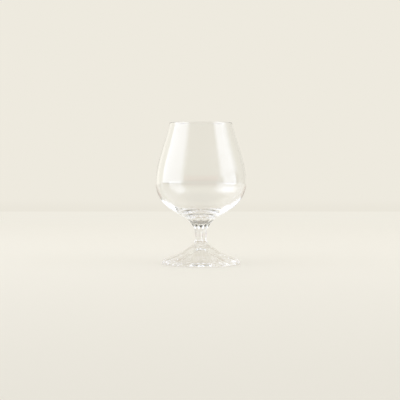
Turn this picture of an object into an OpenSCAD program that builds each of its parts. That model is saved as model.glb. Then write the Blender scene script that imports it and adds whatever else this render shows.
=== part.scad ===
// Short-stemmed balloon goblet in clear glass: a thin blown bowl that narrows to the lip,
// a faceted solid stem and a panelled bell foot that is hollow underneath.
// Millimetres, +Z up. The origin is on the axis, in the plane that the foot stands on.

/* [Bowl] */
// Height of the bowl, from its seam with the stem to the lip
bowl_h = 95; // [84:0.5:108]
// Outside diameter at the lip
lip_d = 62.4; // [56:0.2:72]
// Thickness of the wall at the lip, which is rounded over
lip_wall = 1.4; // [1:0.1:2.4]
// Lean of the side at the lip, in degrees from upright
lip_lean = 13; // [8:0.5:18]
// Length of the nearly straight side below the lip
lip_reach = 20; // [14:0.5:26]
// Outside diameter at the widest part
belly_d = 90; // [82:0.5:100]
// Height of the widest part above the seam
belly_z = 35; // [30:0.5:40]
// Thickness of the wall at the widest part
belly_wall = 2.1; // [1.2:0.1:2.8]
// Reach of the belly's round towards the lip
belly_rise = 20; // [14:0.5:26]
// Reach of the belly's round towards the stem, outside
belly_drop = 22; // [19:0.5:25]
// Slope of the underside at the seam, in degrees from level
under_slope = 32; // [24:1:40]
// Reach of the underside's slope from the seam
under_reach = 7; // [4:0.5:9]
// Thickness of the solid bottom on the axis
bottom_t = 4.6; // [4:0.2:8]
// Reach of the level floor inside, from the axis
floor_reach = 27; // [17:0.5:30]
// Reach of the belly's round towards the floor, inside
floor_drop = 15; // [12:0.5:21]

/* [Stem] */
// Height of the stem between its two seams
stem_h = 26.5; // [24:0.5:36]
// Diameter of the seam with the bowl, at the top of the flared capital
capital_d = 29; // [26:0.2:34]
// Slope of the capital at that seam, in degrees from level
capital_slope = 51; // [40:1:60]
// Reach of the capital's slope from that seam
capital_reach = 2.5; // [1.5:0.5:6]
// Diameter at the waist, over the ridges
waist_d = 12.8; // [11:0.2:15]
// Height of the waist above the seam with the foot
waist_z = 13; // [10:0.5:15]
// Reach of the straight waist up and down
waist_reach = 5.5; // [3:0.5:7]
// Diameter of the seam with the foot
ankle_d = 18; // [16.5:0.5:21]
// Reach of the stem's lower flare from that seam
ankle_reach = 5; // [2:0.5:6]
// Flat facets round the stem, and panels round the foot
panels = 10; // [8:1:12]

/* [Foot] */
// Height of the foot, from the table to its seam with the stem
foot_h = 18.5; // [17:0.5:24]
// Diameter over the ridges at the edge
foot_d = 81; // [74:0.5:92]
// Thickness of the foot at its edge
edge_t = 3.6; // [3.2:0.2:6]
// Radius of the edge's upper round
edge_r = 2; // [1.2:0.1:2.2]
// Radius of the edge's lower round
heel_r = 1; // [0.4:0.1:1.5]
// Slope of the top of the foot at its edge, in degrees from level
edge_slope = 16; // [11:0.5:21]
// Reach of that slope from the edge
edge_reach = 14.5; // [10:0.5:18]
// Lean of the outside at the seam with the stem, in degrees from upright
ankle_lean = 49; // [38:1:54]
// Reach of that lean below the seam
instep_reach = 7; // [4:0.5:10]
// Width of the ring that the foot stands on, under the ridges
ring_w = 7; // [4.5:0.5:10]
// Height of the hollow under the foot
hollow_h = 12; // [9:0.5:14]
// Reach of the level top of the hollow, from the axis
hollow_top = 9; // [4:0.5:11]
// Slope of the hollow at the ring, in degrees from level
hollow_slope = 14; // [8:1:18]
// Reach of that slope from the ring
hollow_reach = 24; // [16:0.5:26]

/* [Hidden] */
$fn = 96;

clear_glass = [0.93, 0.95, 0.93, 0.45];
// Straight steps in each curve of an outline
steps = 16;
// Spare length by which a cutting shape runs past what it cuts
past = 1;
// Size of the facets' polygon over the round stem: this leaves a narrow round ridge between facets
ridge_size = 1.004;
// The same where the facets have run out into the round, at the seams
run_out_size = ridge_size / cos(180 / panels);
// How late the facets run out on the way from the waist to a seam, and from the foot's edge to its seam
stem_run_out = 4;
foot_run_out = 4;
// Turn that brings a ridge to the front
ridge_front = -90;

// Heights of the two seams, the waist, the widest part and the lip
ankle_at = foot_h;
waist_at = ankle_at + waist_z;
capital_at = ankle_at + stem_h;
belly_at = capital_at + belly_z;
lip_at = capital_at + bowl_h;

// Radii of the same
ankle_r = ankle_d / 2;
waist_r = waist_d / 2;
capital_r = capital_d / 2;
belly_r = belly_d / 2;
foot_r = foot_d / 2;
ring_r = foot_r - heel_r - ring_w;

// A step of some length towards an angle
function towards(angle, length) = length * [cos(angle), sin(angle)];

// Points of a cubic curve from a to d, drawn towards b and c
function curve(a, b, c, d) = [
  for (i = [0 : steps])
    let (t = i / steps)
    pow(1 - t, 3) * a + 3 * t * pow(1 - t, 2) * b + 3 * t * t * (1 - t) * c + pow(t, 3) * d
];

// Points of an arc about a centre
function arc(centre, radius, from, to) = [
  for (i = [0 : steps / 2])
    centre + towards(from + (to - from) * 2 * i / steps, radius)
];

// An outline made larger by the facets' size, which grows from its first point to its last
function facet_outline(outline, run_out) = [
  for (i = [0 : len(outline) - 1])
    let (t = i / (len(outline) - 1))
    let (size = ridge_size + (run_out_size - ridge_size) * pow(t, run_out))
    [outline[i].x * size, outline[i].y]
];

// An outline in reverse order
function reversed(outline) = [for (i = [len(outline) - 1 : -1 : 0]) outline[i]];

// A round solid from an outline that runs upwards, closed along the axis
module turned(outline) {
  low = outline[0];
  high = outline[len(outline) - 1];
  rotate_extrude()
    polygon(concat([[0, low.y]], outline, [[0, high.y]]));
}

// The same with flat sides and a ridge at the front, past both ends of the round one
module flat_sided(outline) {
  low = outline[0];
  high = outline[len(outline) - 1];
  ends_low = [[0, low.y - past], [low.x, low.y - past]];
  ends_high = [[high.x, high.y + past], [0, high.y + past]];
  rotate([0, 0, ridge_front])
    rotate_extrude($fn = panels)
      polygon(concat(ends_low, outline, ends_high));
}

// Thin blown bowl with a rounded lip, thickening to a solid bottom with a flat seam
module bowl() {
  lip_middle = [lip_d / 2 - lip_wall / 2, lip_at - lip_wall / 2];
  lip_out = lip_middle + towards(lip_lean, lip_wall / 2);
  lip_in = lip_middle - towards(lip_lean, lip_wall / 2);
  down_the_side = towards(lip_lean - 90, lip_reach);
  belly_in = belly_r - belly_wall;
  floor_at = capital_at + bottom_t;
  seam = [capital_r, capital_at];
  under = curve(seam, seam + towards(under_slope, under_reach),
                [belly_r, belly_at - belly_drop], [belly_r, belly_at]);
  side = curve([belly_r, belly_at], [belly_r, belly_at + belly_rise], lip_out + down_the_side, lip_out);
  lip = arc(lip_middle, lip_wall / 2, lip_lean, lip_lean + 180);
  inner_side = curve(lip_in, lip_in + down_the_side, [belly_in, belly_at + belly_rise], [belly_in, belly_at]);
  inner_floor = curve([belly_in, belly_at], [belly_in, belly_at - floor_drop],
                      [floor_reach, floor_at], [0, floor_at]);
  color(clear_glass)
    turned(concat(under, side, lip, inner_side, inner_floor));
}

// Solid pressed stem: flat facets at the waist that run out in scallops at both seams
module stem() {
  seam_low = [ankle_r, ankle_at];
  seam_high = [capital_r, capital_at];
  waist = [waist_r, waist_at];
  up = [0, waist_reach];
  lower = curve(waist, waist - up, seam_low + towards(90 + ankle_lean, ankle_reach), seam_low);
  upper = curve(waist, waist + up, seam_high - towards(capital_slope, capital_reach), seam_high);
  color(clear_glass)
    intersection() {
      turned(concat(reversed(lower), upper));
      flat_sided(concat(reversed(facet_outline(lower, stem_run_out)), facet_outline(upper, stem_run_out)));
    }
}

// Pressed bell foot: panels that fade out under the stem, a rounded edge and a hollow underside
module foot() {
  seam = [ankle_r, ankle_at];
  heel = arc([foot_r - heel_r, heel_r], heel_r, -90, 0);
  edge_middle = [foot_r - edge_r, edge_t - edge_r * cos(edge_slope)];
  edge = arc(edge_middle, edge_r, 0, 90 - edge_slope);
  edge_top = edge[len(edge) - 1];
  flare = curve(edge_top, edge_top + towards(180 - edge_slope, edge_reach),
                seam + towards(ankle_lean - 90, instep_reach), seam);
  outside = concat(heel, edge, flare);
  ring = [ring_r, 0];
  hollow = curve(ring, ring + towards(180 - hollow_slope, hollow_reach),
                 [hollow_top, hollow_h], [0, hollow_h]);
  color(clear_glass)
    difference() {
      intersection() {
        turned(outside);
        flat_sided(facet_outline(outside, foot_run_out));
      }
      turned(concat([[ring_r, -past]], hollow));
    }
}

bowl();
stem();
foot();
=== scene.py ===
import math

import bpy
import numpy as np
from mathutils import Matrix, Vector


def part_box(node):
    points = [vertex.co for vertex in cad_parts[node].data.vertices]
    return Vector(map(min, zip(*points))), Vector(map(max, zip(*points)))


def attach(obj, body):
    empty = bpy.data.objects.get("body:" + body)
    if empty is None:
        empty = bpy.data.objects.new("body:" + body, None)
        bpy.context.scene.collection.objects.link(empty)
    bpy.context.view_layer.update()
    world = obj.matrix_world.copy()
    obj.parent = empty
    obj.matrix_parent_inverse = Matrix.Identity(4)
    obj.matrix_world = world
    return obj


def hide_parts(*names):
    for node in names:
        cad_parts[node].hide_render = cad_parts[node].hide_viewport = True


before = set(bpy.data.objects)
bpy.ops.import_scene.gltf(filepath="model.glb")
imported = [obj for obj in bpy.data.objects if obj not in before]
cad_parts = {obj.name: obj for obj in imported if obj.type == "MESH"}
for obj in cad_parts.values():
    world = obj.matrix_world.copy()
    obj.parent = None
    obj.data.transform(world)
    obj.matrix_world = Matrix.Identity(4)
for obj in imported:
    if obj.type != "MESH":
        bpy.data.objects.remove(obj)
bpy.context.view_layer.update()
scene = bpy.context.scene
scene.view_settings.view_transform = "Standard"

# Camera: a short portrait lens at about belly height, a little under a metre in front of the glass.
# It looks down by two degrees, so the lip is seen edge-on and the foot from just above.
MM = 0.001
CAMERA_LENS = 85.0
CAMERA_SENSOR = 36.0
CAMERA_DISTANCE = 940.4 * MM
CAMERA_HEIGHT = 96.1 * MM
CAMERA_ASIDE = -0.9 * MM
CAMERA_DOWN = math.radians(2.0)

camera_data = bpy.data.cameras.new("camera")
camera_data.lens = CAMERA_LENS
camera_data.sensor_width = CAMERA_SENSOR
camera = bpy.data.objects.new("camera", camera_data)
camera.location = (CAMERA_ASIDE, -CAMERA_DISTANCE, CAMERA_HEIGHT)
camera.rotation_euler = (math.pi / 2 - CAMERA_DOWN, 0, 0)
scene.collection.objects.link(camera)
scene.camera = camera

# Table and backdrop: pale cream paper, level under the glass and upright about a metre behind it.
# It is matte. To the lens and to the glass it shows its own colour, and the table keeps the shadow.
# Painted light and shade lie on that colour. There is painted shade under the foot and towards the front of
# the table.
# There is painted light towards the left of the wall, and painted shade towards its right and along its
# fold.
# Each span is where one tone goes over into the next, in metres off the axis or along one direction.
TABLE_FRONT = -0.62
TABLE_BACK = 1.10
TABLE_DROP = 0.2 * MM
WALL_TOP = 2.4
PAPER_HALF_WIDTH = 3.0
PAPER_ROUGHNESS = 0.9
PAPER = (0.87, 0.84, 0.755, 1)
# Painted shade: under the foot the paper is shown darker and warmer, within this span of radii from the
# axis.
PAINTED_SHADE_UNDER_FOOT = (0.635, 0.565, 0.475, 1)
PAINTED_SHADE_UNDER_FOOT_SPAN = (32 * MM, 40 * MM)
TABLE_SHOWN_NEAR = 0.75
TABLE_SHOWN_SPAN = (0.35, 0.9)
# Painted shade: the paper is shown darker towards the front of the table, over this span along it.
TABLE_FRONT_PAINTED_SHADE = 0.90
TABLE_FRONT_PAINTED_SHADE_SPAN = (-0.6, 0.2)
WALL_MIDDLE = (0.855, 0.823, 0.737, 1)
# Painted light: the backdrop is shown brighter towards its left. Painted shade: it is shown darker towards
# its right.
WALL_LEFT_PAINTED_LIGHT = (1.1, 1.07, 0.98, 1)
WALL_LEFT_PAINTED_LIGHT_SPAN = (-0.4, -0.9)
WALL_RIGHT_PAINTED_SHADE = (0.76, 0.732, 0.657, 1)
WALL_RIGHT_PAINTED_SHADE_SPAN = (0.45, 0.7)
# Painted shade: a darker band low on the wall, along its fold at the table.
WALL_FOLD_PAINTED_SHADE = (0.83, 0.797, 0.71, 1)
WALL_FOLD_PAINTED_SHADE_SPAN = (0.03, 0.004)


def sheet_mesh(name, outline):
    """A sheet: an outline in the (y, z) plane, carried straight along x between its two edges."""
    outline = np.asarray(outline, float)
    n = len(outline)
    left = np.column_stack([np.full(n, -PAPER_HALF_WIDTH), outline])
    right = np.column_stack([np.full(n, PAPER_HALF_WIDTH), outline])
    i = np.arange(n - 1)
    faces = np.column_stack([i, i + n, i + n + 1, i + 1])
    mesh = bpy.data.meshes.new(name)
    mesh.from_pydata(np.vstack([left, right]), [], faces.tolist())
    mesh.update()
    return mesh


def ramp(tree, value, start, end, low=0.0, high=1.0):
    """A smooth step of a value: low up to start, high from end on, and a cubic ease between them."""
    step = tree.nodes.new("ShaderNodeMapRange")
    step.interpolation_type = "SMOOTHSTEP"
    step.inputs["From Min"].default_value = start
    step.inputs["From Max"].default_value = end
    step.inputs["To Min"].default_value = low
    step.inputs["To Max"].default_value = high
    tree.links.new(value, step.inputs["Value"])
    return step.outputs["Result"]


def combined(tree, operation, a, b, clamp=False):
    """Two values put together by one sum or product. The second may be a plain number."""
    node = tree.nodes.new("ShaderNodeMath")
    node.operation = operation
    node.use_clamp = clamp
    tree.links.new(a, node.inputs[0])
    if isinstance(b, float):
        node.inputs[1].default_value = b
    else:
        tree.links.new(b, node.inputs[1])
    return node.outputs[0]


def between(tree, share, first, second):
    """A colour between two, each a fixed colour or a socket: the first at a share of 0, the second at 1."""
    mix = tree.nodes.new("ShaderNodeMix")
    mix.data_type = "RGBA"
    tree.links.new(share, mix.inputs["Factor"])
    for socket, colour in ((mix.inputs[6], first), (mix.inputs[7], second)):
        if isinstance(colour, tuple):
            socket.default_value = colour
        else:
            tree.links.new(colour, socket)
    return mix.outputs[2]


def paper(name):
    """Matte paper that shows its own colour to glass and to the lens, by the clamped sum of these rays.

    It gives back the material, the node of the shown colour, and the socket for the share of it that
    the lens sees."""
    material = bpy.data.materials.new(name)
    material.use_nodes = True
    tree = material.node_tree
    matte = tree.nodes["Principled BSDF"]
    matte.inputs["Base Color"].default_value = PAPER
    matte.inputs["Roughness"].default_value = PAPER_ROUGHNESS
    matte.inputs["Specular IOR Level"].default_value = 0.0
    shown = tree.nodes.new("ShaderNodeEmission")
    shown.inputs["Color"].default_value = PAPER
    path = tree.nodes.new("ShaderNodeLightPath")
    in_glass = combined(tree, "ADD", path.outputs["Is Glossy Ray"], path.outputs["Is Transmission Ray"])
    in_lens = combined(tree, "MULTIPLY", path.outputs["Is Camera Ray"], 1.0)
    mix = tree.nodes.new("ShaderNodeMixShader")
    tree.links.new(combined(tree, "ADD", in_glass, in_lens, clamp=True), mix.inputs["Fac"])
    tree.links.new(matte.outputs[0], mix.inputs[1])
    tree.links.new(shown.outputs[0], mix.inputs[2])
    tree.links.new(mix.outputs[0], tree.nodes["Material Output"].inputs["Surface"])
    return material, shown, in_lens.node.inputs[1]


table = bpy.data.objects.new("table", sheet_mesh(
    "table", [(TABLE_FRONT, -TABLE_DROP), (TABLE_BACK, -TABLE_DROP)]))
table_paper, table_shown, table_share = paper("table_paper")
tree = table_paper.node_tree
place = tree.nodes.new("ShaderNodeTexCoord")
off_axis = tree.nodes.new("ShaderNodeVectorMath")
off_axis.operation = "LENGTH"
tree.links.new(place.outputs["Object"], off_axis.inputs[0])
along = tree.nodes.new("ShaderNodeSeparateXYZ")
tree.links.new(place.outputs["Object"], along.inputs[0])
far_off = ramp(tree, off_axis.outputs["Value"], *TABLE_SHOWN_SPAN, low=TABLE_SHOWN_NEAR)
tree.links.new(far_off, table_share)
# Painted shade under the foot: inside the span the paper's shown colour goes over to a darker, warmer one.
clear_of_painted_foot_shade = ramp(tree, off_axis.outputs["Value"], *PAINTED_SHADE_UNDER_FOOT_SPAN)
tree.links.new(between(tree, clear_of_painted_foot_shade, PAINTED_SHADE_UNDER_FOOT, PAPER), table_shown.inputs["Color"])
# Painted shade: the shown paper dims towards the front of the table, where less light falls.
painted_front_shade = ramp(tree, along.outputs["Y"], *TABLE_FRONT_PAINTED_SHADE_SPAN, low=TABLE_FRONT_PAINTED_SHADE)
tree.links.new(painted_front_shade, table_shown.inputs["Strength"])
table.data.materials.append(table_paper)

wall = bpy.data.objects.new("wall", sheet_mesh(
    "wall", [(TABLE_BACK, -TABLE_DROP), (TABLE_BACK, WALL_TOP)]))
wall_paper, wall_shown, _ = paper("wall_paper")
tree = wall_paper.node_tree
place = tree.nodes.new("ShaderNodeTexCoord")
along = tree.nodes.new("ShaderNodeSeparateXYZ")
tree.links.new(place.outputs["Object"], along.inputs[0])
# Painted light and shade on the backdrop: brighter to the left, darker to the right, as the lamps would
# light it.
wall_tone_and_painted_light = between(tree, ramp(tree, along.outputs["X"], *WALL_LEFT_PAINTED_LIGHT_SPAN), WALL_MIDDLE, WALL_LEFT_PAINTED_LIGHT)
wall_tone_and_painted_light = between(tree, ramp(tree, along.outputs["X"], *WALL_RIGHT_PAINTED_SHADE_SPAN), wall_tone_and_painted_light, WALL_RIGHT_PAINTED_SHADE)
# Painted shade in the crease: the wall is shown darker just above the table.
wall_tone_and_painted_light = between(tree, ramp(tree, along.outputs["Z"], *WALL_FOLD_PAINTED_SHADE_SPAN), wall_tone_and_painted_light, WALL_FOLD_PAINTED_SHADE)
tree.links.new(wall_tone_and_painted_light, wall_shown.inputs["Color"])
wall.data.materials.append(wall_paper)

for stage_piece in (table, wall):
    scene.collection.objects.link(stage_piece)

# Studio light: a large softbox on each side, a low one under the right one, a small card close to the
# glass, and an even light overhead. The softboxes fade towards their edges, and the bowl shows them as
# tall streaks with soft sides. The card is only mirrored, and the overhead light only falls on the paper.
SOFTBOX_RADIANCE = 2.2
SOFTBOX_COLOUR = (0.84, 0.90, 1.10)
CARD_RADIANCE = 2.4
OVERHEAD_RADIANCE = 1.0
OVERHEAD_SIZE = 2.4
OVERHEAD_PLACE = (0, -0.2, 1.7)


def softbox(name, azimuth, distance, width, height, low, fade, radiance=SOFTBOX_RADIANCE):
    """An upright lamp that faces the axis, at an azimuth in degrees from the camera, to the right.

    Its light is the product of four smooth steps, one in from each side. fade gives their widths as
    shares of the lamp: in from its left, right, lower and upper side, seen from behind it."""
    lamp = bpy.data.lights.new(name, "AREA")
    lamp.shape = "RECTANGLE"
    lamp.size = width
    lamp.size_y = height
    lamp.energy = radiance * math.pi * width * height
    lamp.color = SOFTBOX_COLOUR
    lamp.use_nodes = True
    tree = lamp.node_tree
    surface = tree.nodes.new("ShaderNodeNewGeometry")
    across = tree.nodes.new("ShaderNodeSeparateXYZ")
    tree.links.new(surface.outputs["Parametric"], across.inputs[0])
    sideways = combined(tree, "MULTIPLY", ramp(tree, across.outputs["X"], 0.0, fade[0]),
                        ramp(tree, across.outputs["X"], 1.0, 1.0 - fade[1]))
    upright = combined(tree, "MULTIPLY", ramp(tree, across.outputs["Y"], 0.0, fade[2]),
                       ramp(tree, across.outputs["Y"], 1.0, 1.0 - fade[3]))
    tree.links.new(combined(tree, "MULTIPLY", sideways, upright), tree.nodes["Emission"].inputs["Strength"])
    obj = bpy.data.objects.new(name, lamp)
    angle = math.radians(azimuth)
    obj.location = (distance * math.sin(angle), -distance * math.cos(angle), low + height / 2)
    obj.rotation_euler = (math.pi / 2, 0, angle)
    obj.visible_camera = False
    scene.collection.objects.link(obj)
    return obj


softbox("softbox_left", azimuth=-77, distance=0.9, width=1.5, height=0.975, low=0.075,
        fade=(0.16, 0.345, 0.01, 0.02))
softbox("softbox_right", azimuth=81, distance=1.0, width=1.46, height=1.0, low=0.22,
        fade=(0.27, 0.486, 0.06, 0.02))
softbox("softbox_low", azimuth=77, distance=1.0, width=0.90, height=0.24, low=0.02,
        fade=(0.25, 0.05, 0.05, 0.15))
card = softbox("card_right", azimuth=71, distance=0.17, width=0.2, height=0.065, low=0.002,
               fade=(0.3, 0.3, 0.05, 0.4), radiance=CARD_RADIANCE)
card.visible_diffuse = False
card.visible_transmission = False

overhead_lamp = bpy.data.lights.new("overhead", "AREA")
overhead_lamp.shape = "SQUARE"
overhead_lamp.size = OVERHEAD_SIZE
overhead_lamp.energy = OVERHEAD_RADIANCE * math.pi * OVERHEAD_SIZE**2
overhead = bpy.data.objects.new("overhead", overhead_lamp)
overhead.location = OVERHEAD_PLACE
overhead.visible_camera = False
overhead.visible_glossy = False
overhead.visible_transmission = False
scene.collection.objects.link(overhead)

# Room: what the glass mirrors past the lamps and the paper. It is dim, paler half way up, dark at the
# ceiling, and red-brown low behind the camera. To the lens, and straight through the glass, it has the
# backdrop's colour. Spans are heights or depths of a direction of length one, the last counts mirrorings.
ROOM_LEVEL = (0.32, 0.31, 0.25, 1)
ROOM_ABOVE = (0.52, 0.50, 0.42, 1)
ROOM_ABOVE_SPAN = (0.0, 0.45)
ROOM_CEILING = (0.08, 0.078, 0.07, 1)
ROOM_CEILING_SPAN = (0.80, 0.95)
ROOM_BEHIND_CAMERA = (0.34, 0.03, 0.0, 1)
BEHIND_CAMERA_SPAN = (-0.64, -0.78)
BEHIND_CAMERA_TOP_SPAN = (0.20, 0.188)
BEHIND_CAMERA_FLOOR_SPAN = (0.045, 0.065)
ROOM_BELOW = (0.2, 0.19, 0.16, 1)
ROOM_BELOW_SPAN = (0.02, 0.008)
SEEN_THROUGH_TOP_SPAN = (0.55, 0.45)
FIRST_MIRROR_SPAN = (0.9, 0.1)

world = bpy.data.worlds.new("room")
world.use_nodes = True
tree = world.node_tree
place = tree.nodes.new("ShaderNodeTexCoord")
along = tree.nodes.new("ShaderNodeSeparateXYZ")
tree.links.new(place.outputs["Generated"], along.inputs[0])
upwards = along.outputs["Z"]
room = between(tree, ramp(tree, upwards, *ROOM_ABOVE_SPAN), ROOM_LEVEL, ROOM_ABOVE)
room = between(tree, ramp(tree, upwards, *ROOM_CEILING_SPAN), room, ROOM_CEILING)
behind_camera = combined(tree, "MULTIPLY", ramp(tree, along.outputs["Y"], *BEHIND_CAMERA_SPAN),
                         ramp(tree, upwards, *BEHIND_CAMERA_TOP_SPAN))
far_side = between(tree, ramp(tree, upwards, *BEHIND_CAMERA_FLOOR_SPAN), ROOM_BELOW, ROOM_BEHIND_CAMERA)
room = between(tree, behind_camera, room, far_side)
room = between(tree, ramp(tree, upwards, *ROOM_BELOW_SPAN), room, ROOM_BELOW)
path = tree.nodes.new("ShaderNodeLightPath")
not_mirrored = ramp(tree, path.outputs["Glossy Depth"], *FIRST_MIRROR_SPAN)
seen_through = combined(tree, "MULTIPLY", path.outputs["Is Transmission Ray"], not_mirrored)
seen_through = combined(tree, "MULTIPLY", seen_through, ramp(tree, upwards, *SEEN_THROUGH_TOP_SPAN))
background = combined(tree, "ADD", seen_through, path.outputs["Is Camera Ray"], clamp=True)
room = between(tree, background, room, WALL_MIDDLE)
tree.links.new(room, tree.nodes["Background"].inputs["Color"])
scene.world = world

# Foot: a bell of pressed glass with ten panels, thick at its rounded edge and hollow underneath.
# It is pressed in a mould, fire-polished, and fused to the stem at a flat round seam.
PANELS = 10
CURVE_STEPS = 41
ARC_STEPS = 17
PANEL_STEPS = 40
SAME_POINT = 1e-7
SHARP_ANGLE = math.radians(30)
RIDGE_ROUND = 0.4 * MM
FOOT_RIDGE = 1.004
FOOT_RUN_OUT = 4
FOOT_FLUTE = 0.018
ANKLE_R = 9 * MM
ANKLE_LEAN = 49
EDGE_T = 3.6 * MM
EDGE_R = 2 * MM
HEEL_R = 1 * MM
EDGE_SLOPE = 16
EDGE_REACH = 14.5 * MM
INSTEP_REACH = 7 * MM
RING_W = 7 * MM
HOLLOW_H = 12 * MM
HOLLOW_TOP = 9 * MM
HOLLOW_SLOPE = 14
HOLLOW_REACH = 24 * MM
GLASS_IOR = 1.55
CLEAR = (0.984, 0.983, 0.980, 1)
FAINT_GREEN = (0.976, 0.979, 0.971, 1)
TINT_SPAN = (0.3, 0.7)
RIPPLE_DETAIL = 1.0
WEAR_SCALE = 260.0
WEAR_DETAIL = 4.0
WORN_SPAN = (0.45, 0.75)

foot_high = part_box("foot")[1]
foot_r = foot_high[1]
ankle_at = foot_high[2]


def towards(degrees, length):
    """A step of some length towards an angle in the (r, z) plane."""
    return length * np.array([math.cos(math.radians(degrees)), math.sin(math.radians(degrees))])


def curve(a, b, c, d):
    """Points of a cubic from a to d, drawn towards b and c: the Bernstein sum of the four points."""
    t = np.linspace(0, 1, CURVE_STEPS)[:, None]
    a, b, c, d = (np.asarray(p, float) for p in (a, b, c, d))
    return (1 - t)**3 * a + 3 * t * (1 - t)**2 * b + 3 * t**2 * (1 - t) * c + t**3 * d


def arc(centre, radius, start, end):
    """Points of an arc about a centre, at even steps of the angle from start to end in degrees."""
    a = np.radians(np.linspace(start, end, ARC_STEPS))
    return np.asarray(centre) + radius * np.column_stack([np.cos(a), np.sin(a)])


def joined(*outlines):
    """Outlines end to end, with the point that two of them share kept once."""
    points = np.vstack(outlines)
    step = np.linalg.norm(np.diff(points, axis=0), axis=1)
    return points[np.concatenate([[True], step > SAME_POINT])]


def panelled(n, power):
    """How far the panels are cut along an outline of n points: 1 at its start, 0 at its end.

    They run out late, as one less the given power of the share of the way."""
    return 1 - np.linspace(0, 1, n)**power


def turned(outline, cut=None, ridge=1.0, flute=0.0):
    """A grid turned round the axis from an outline of (r, z), with a ridge at the front.

    Where cut is given, the radius is the smaller of the round one and a polygon's side: its corner
    radius times the cosine of half a panel, over the cosine of the angle from the panel's middle.
    Each side is hollowed by a parabola, deepest by a share flute of the radius. Both fade with cut.
    A smooth minimum of the round and the side leaves the ridges softly rounded."""
    columns = PANELS * PANEL_STEPS
    angle = -math.pi / 2 + 2 * math.pi * np.arange(columns) / columns
    radius = np.repeat(outline[:, :1], columns, axis=1)
    if cut is not None:
        half = math.pi / PANELS
        off_middle = (angle + math.pi / 2) % (2 * half) - half
        corner = ridge * (cut + (1 - cut) / math.cos(half))
        side = corner[:, None] * math.cos(half) / np.cos(off_middle)[None, :]
        side = side - flute * cut[:, None] * (1 - (off_middle / half)**2)[None, :]
        side = outline[:, :1] * side
        blend = np.clip(0.5 + 0.5 * (side - radius) / RIDGE_ROUND, 0, 1)
        radius = side + (radius - side) * blend - RIDGE_ROUND * blend * (1 - blend)
    height = np.repeat(outline[:, 1:], columns, axis=1)
    return np.stack([radius * np.cos(angle), radius * np.sin(angle), height], axis=-1)


def closed_mesh(name, grid, first_z, last_z, seam_rows):
    """A closed mesh from a grid of rings, with a pole on the axis before the first ring and after the last.

    Faces run up the outside, so they point outwards. Those in seam_rows take the second material:
    -1 is the fan at the first pole, and the number of gaps between rings is the fan at the last."""
    rows, columns, _ = grid.shape
    points = np.vstack([[(0, 0, first_z)], grid.reshape(-1, 3), [(0, 0, last_z)]])
    j = np.arange(columns)
    k = (j + 1) % columns
    first = np.column_stack([np.zeros(columns, int), 1 + k, 1 + j])
    top = 1 + (rows - 1) * columns
    last = np.column_stack([np.full(columns, len(points) - 1), top + j, top + k])
    base = 1 + columns * np.arange(rows - 1)[:, None]
    quads = np.stack([base + j, base + k, base + columns + k, base + columns + j], axis=-1).reshape(-1, 4)
    mesh = bpy.data.meshes.new(name)
    mesh.from_pydata(points, [], first.tolist() + quads.tolist() + last.tolist())
    row_of_face = np.concatenate([
        np.full(columns, -1), np.repeat(np.arange(rows - 1), columns), np.full(columns, rows - 1)])
    mesh.polygons.foreach_set("material_index", np.isin(row_of_face, seam_rows).astype(np.int32))
    mesh.shade_smooth()
    mesh.set_sharp_from_angle(angle=SHARP_ANGLE)
    mesh.update()
    return mesh


def molten_surface():
    """The skin of glass that has been hot: a slow ripple, and a haze of fine wear.

    The ripple is smooth noise in space. The haze is finer noise, raised from nothing to a small
    roughness, and the tint goes from clear to the faintest green with the ripple."""
    group = bpy.data.node_groups.new("molten_surface", "ShaderNodeTree")
    group.interface.new_socket("Place", in_out="INPUT", socket_type="NodeSocketVector")
    group.interface.new_socket("Ripple Scale", in_out="INPUT", socket_type="NodeSocketFloat")
    group.interface.new_socket("Haze", in_out="INPUT", socket_type="NodeSocketFloat")
    group.interface.new_socket("Tint", in_out="OUTPUT", socket_type="NodeSocketColor")
    group.interface.new_socket("Roughness", in_out="OUTPUT", socket_type="NodeSocketFloat")
    group.interface.new_socket("Height", in_out="OUTPUT", socket_type="NodeSocketFloat")
    given = group.nodes.new("NodeGroupInput")
    result = group.nodes.new("NodeGroupOutput")
    ripple = group.nodes.new("ShaderNodeTexNoise")
    ripple.inputs["Detail"].default_value = RIPPLE_DETAIL
    group.links.new(given.outputs["Place"], ripple.inputs["Vector"])
    group.links.new(given.outputs["Ripple Scale"], ripple.inputs["Scale"])
    wear = group.nodes.new("ShaderNodeTexNoise")
    wear.inputs["Scale"].default_value = WEAR_SCALE
    wear.inputs["Detail"].default_value = WEAR_DETAIL
    group.links.new(given.outputs["Place"], wear.inputs["Vector"])
    worn = ramp(group, wear.outputs["Fac"], *WORN_SPAN)
    tint = between(group, ramp(group, ripple.outputs["Fac"], *TINT_SPAN), CLEAR, FAINT_GREEN)
    group.links.new(tint, result.inputs["Tint"])
    group.links.new(combined(group, "MULTIPLY", worn, given.outputs["Haze"]), result.inputs["Roughness"])
    group.links.new(ripple.outputs["Fac"], result.inputs["Height"])
    return group


molten_skin = molten_surface()


def clear_glass(name, ripple_scale, ripple_height, haze):
    """Clear glass with the molten skin: its ripple, of the given height, bends what is seen through it."""
    material = bpy.data.materials.new(name)
    material.use_nodes = True
    tree = material.node_tree
    shader = tree.nodes["Principled BSDF"]
    shader.inputs["IOR"].default_value = GLASS_IOR
    shader.inputs["Transmission Weight"].default_value = 1.0
    place = tree.nodes.new("ShaderNodeTexCoord")
    skin = tree.nodes.new("ShaderNodeGroup")
    skin.node_tree = molten_skin
    skin.inputs["Ripple Scale"].default_value = ripple_scale
    skin.inputs["Haze"].default_value = haze
    tree.links.new(place.outputs["Object"], skin.inputs["Place"])
    relief = tree.nodes.new("ShaderNodeBump")
    relief.inputs["Distance"].default_value = ripple_height
    tree.links.new(skin.outputs["Height"], relief.inputs["Height"])
    tree.links.new(skin.outputs["Tint"], shader.inputs["Base Color"])
    tree.links.new(skin.outputs["Roughness"], shader.inputs["Roughness"])
    tree.links.new(relief.outputs["Normal"], shader.inputs["Normal"])
    return material


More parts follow.
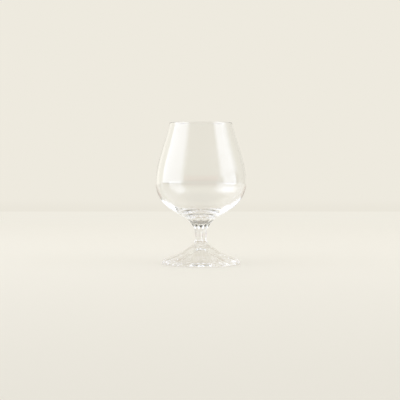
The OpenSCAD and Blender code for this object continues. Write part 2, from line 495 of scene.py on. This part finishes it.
pressed_glass = clear_glass("pressed_glass", ripple_scale=60.0, ripple_height=0.012 * MM, haze=0.1)
fused_seam = bpy.data.materials.new("fused_seam")
fused_seam.use_nodes = True
fused_seam.node_tree.nodes["Principled BSDF"].inputs["Alpha"].default_value = 0.0


def add_piece(name, node, mesh, glass):
    """A finished glass piece that stands for its node and rides with the whole glass.

    Its flat seams are see-through, because the fused glass is one solid there."""
    piece = bpy.data.objects.new(name, mesh)
    mesh.materials.append(glass)
    mesh.materials.append(fused_seam)
    scene.collection.objects.link(piece)
    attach(piece, "root")
    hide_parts(node)


ankle_seam = np.array([ANKLE_R, ankle_at])
ring = np.array([foot_r - HEEL_R - RING_W, 0])
hollow = curve((0, HOLLOW_H), (HOLLOW_TOP, HOLLOW_H), ring + towards(180 - HOLLOW_SLOPE, HOLLOW_REACH), ring)
heel = arc((foot_r - HEEL_R, HEEL_R), HEEL_R, -90, 0)
edge_middle = (foot_r - EDGE_R, EDGE_T - EDGE_R * math.cos(math.radians(EDGE_SLOPE)))
edge = arc(edge_middle, EDGE_R, 0, 90 - EDGE_SLOPE)
flare = curve(edge[-1], edge[-1] + towards(180 - EDGE_SLOPE, EDGE_REACH),
              ankle_seam + towards(ANKLE_LEAN - 90, INSTEP_REACH), ankle_seam)
outside = joined(heel, edge, flare)
foot_panels = panelled(len(outside), FOOT_RUN_OUT)
foot_grid = np.concatenate([turned(hollow[1:]), turned(outside, foot_panels, FOOT_RIDGE, FOOT_FLUTE)])
add_piece("bell_foot", "foot", closed_mesh(
    "bell_foot", foot_grid, HOLLOW_H, ankle_at, [len(foot_grid) - 1]), pressed_glass)

# Stem: a short solid column of pressed glass with ten hollowed facets, waisted, with a flared capital.
# The facets run out in scallops at both ends, where it is fused to the foot and to the bowl.
STEM_RIDGE = 1.004
STEM_RUN_OUT = 4
STEM_FLUTE = 0.09
WAIST_R = 6.4 * MM
WAIST_Z = 13 * MM
WAIST_REACH = 5.5 * MM
ANKLE_REACH = 5 * MM
CAPITAL_SLOPE = 51
CAPITAL_REACH = 2.5 * MM

stem_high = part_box("stem")[1]
capital_r = stem_high[1]
capital_at = stem_high[2]
waist = np.array([WAIST_R, ankle_at + WAIST_Z])
waist_up = np.array([0, WAIST_REACH])
capital_seam = np.array([capital_r, capital_at])
lower = curve(waist, waist - waist_up, ankle_seam + towards(90 + ANKLE_LEAN, ANKLE_REACH), ankle_seam)
upper = curve(waist, waist + waist_up, capital_seam - towards(CAPITAL_SLOPE, CAPITAL_REACH), capital_seam)
column = np.vstack([lower[::-1], upper[1:]])
stem_panels = np.concatenate([
    panelled(len(lower), STEM_RUN_OUT)[::-1], panelled(len(upper), STEM_RUN_OUT)[1:]])
stem_grid = turned(column, stem_panels, STEM_RIDGE, STEM_FLUTE)
add_piece("faceted_stem", "stem", closed_mesh(
    "faceted_stem", stem_grid, ankle_at, capital_at, [-1, len(stem_grid) - 1]), pressed_glass)

# Bowl: thin clear glass, blown into a balloon that narrows to a fire-polished lip.
# Its wall thickens to a solid bottom, which is fused to the stem's capital.
LIP_R = 31.2 * MM
LIP_WALL = 1.4 * MM
LIP_LEAN = 13
LIP_REACH = 20 * MM
BELLY_Z = 35 * MM
BELLY_WALL = 2.1 * MM
BELLY_RISE = 20 * MM
BELLY_DROP = 22 * MM
UNDER_SLOPE = 32
UNDER_REACH = 7 * MM
BOTTOM_T = 4.6 * MM
FLOOR_REACH = 27 * MM
FLOOR_DROP = 15 * MM

bowl_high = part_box("bowl")[1]
belly_r = bowl_high[1]
belly_in = belly_r - BELLY_WALL
belly_at = capital_at + BELLY_Z
floor_at = capital_at + BOTTOM_T
lip_at = bowl_high[2]
lip_middle = np.array([LIP_R - LIP_WALL / 2, lip_at - LIP_WALL / 2])
lip_out = lip_middle + towards(LIP_LEAN, LIP_WALL / 2)
lip_in = lip_middle - towards(LIP_LEAN, LIP_WALL / 2)
down_the_side = towards(LIP_LEAN - 90, LIP_REACH)
under = curve(capital_seam, capital_seam + towards(UNDER_SLOPE, UNDER_REACH),
              (belly_r, belly_at - BELLY_DROP), (belly_r, belly_at))
side = curve((belly_r, belly_at), (belly_r, belly_at + BELLY_RISE), lip_out + down_the_side, lip_out)
lip = arc(lip_middle, LIP_WALL / 2, LIP_LEAN, LIP_LEAN + 180)
inner_side = curve(lip_in, lip_in + down_the_side, (belly_in, belly_at + BELLY_RISE), (belly_in, belly_at))
inner_floor = curve((belly_in, belly_at), (belly_in, belly_at - FLOOR_DROP),
                    (FLOOR_REACH, floor_at), (0, floor_at))
bowl_grid = turned(joined(under, side, lip, inner_side, inner_floor[:-1]))
blown_glass = clear_glass("blown_glass", ripple_scale=22.0, ripple_height=0.02 * MM, haze=0.015)
add_piece("blown_bowl", "bowl", closed_mesh(
    "blown_bowl", bowl_grid, capital_at, floor_at, [-1]), blown_glass)

# Light paths: deep enough for light that is held inside the thick glass of the bottom, stem and foot,
# which is mirrored many times there before it comes out again.
LIGHT_BOUNCES = 64
scene.cycles.max_bounces = LIGHT_BOUNCES
scene.cycles.transmission_bounces = LIGHT_BOUNCES
scene.cycles.glossy_bounces = LIGHT_BOUNCES
